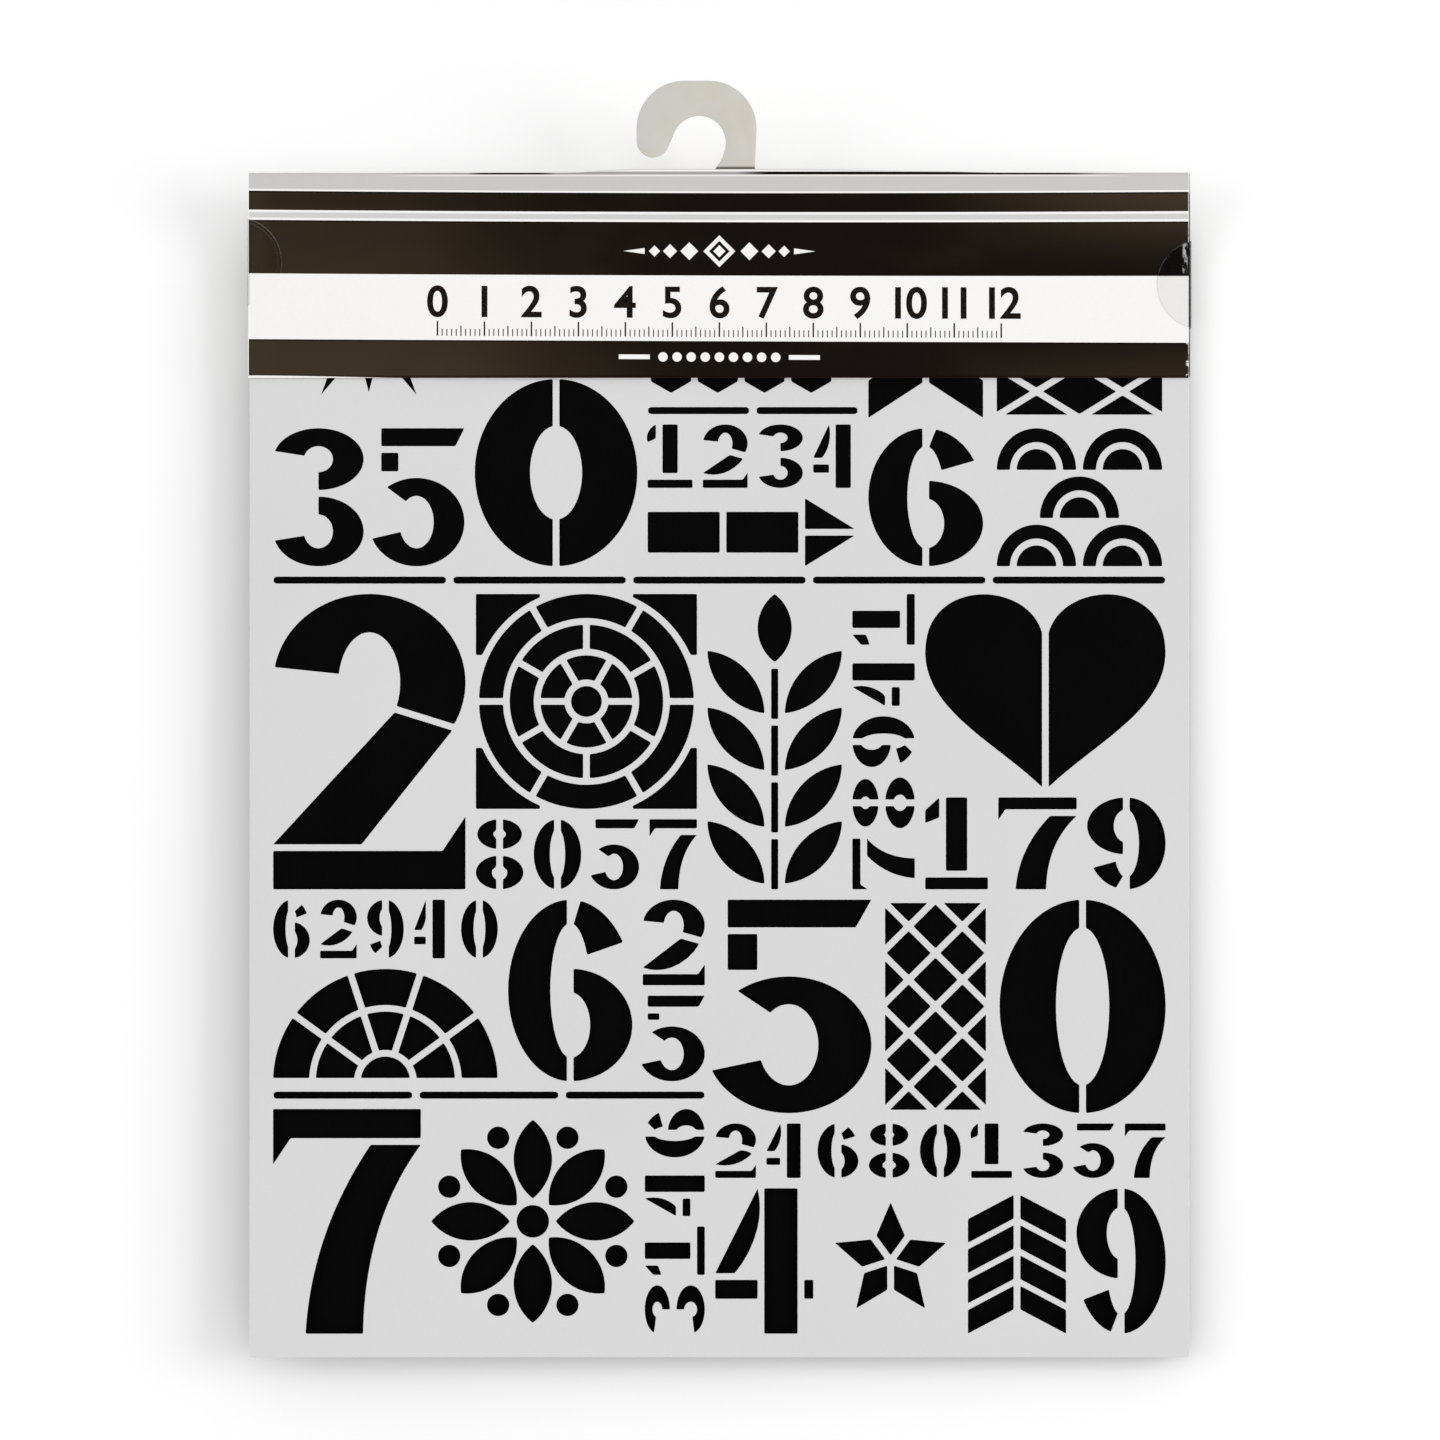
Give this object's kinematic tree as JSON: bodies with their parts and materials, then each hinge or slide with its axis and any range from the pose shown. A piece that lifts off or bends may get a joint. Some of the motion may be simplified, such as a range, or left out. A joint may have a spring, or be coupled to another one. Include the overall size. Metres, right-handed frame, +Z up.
{
  "type": "stencil",
  "caption": "Flat plastic craft stencil with bridged cut-outs on a black backing card, held in a folded header card that hangs by a flat plastic hook.",
  "frame": {"origin": "the point inside the hook's crest that a peg carries, half way through the hook's thickness", "axes": "+Z up along the hanging pack, +X to the right and +Y away from the viewer as the pack is seen from its printed front"},
  "size_m": [0.2008, 0.0028, 0.2718],
  "materials": {
    "header_print": "glossy print, black and white bands",
    "hook_plastic": "die-cut, satin",
    "tape": "double-sided tissue tape",
    "seal_film": "clear film",
    "stencil_plastic": "smooth satin film",
    "black_card": "matte black"
  },
  "bodies": {
    "header": {"header_card": "header_print", "hanger_hook": "hook_plastic", "hanger_tape": "tape", "seal_left": "seal_film", "seal_right": "seal_film"},
    "stencil": {"stencil_sheet": "stencil_plastic"},
    "backing": {"backing_card": "black_card"}
  },
  "joints": [
    {"name": "stencil_slide", "type": "slide", "parent": "header", "child": "stencil", "axis": [0, 0, -1], "range_m": [0, 0.04]},
    {"name": "backing_slide", "type": "slide", "parent": "header", "child": "backing", "axis": [0, 0, -1], "range_m": [0, 0.04]}
  ]
}
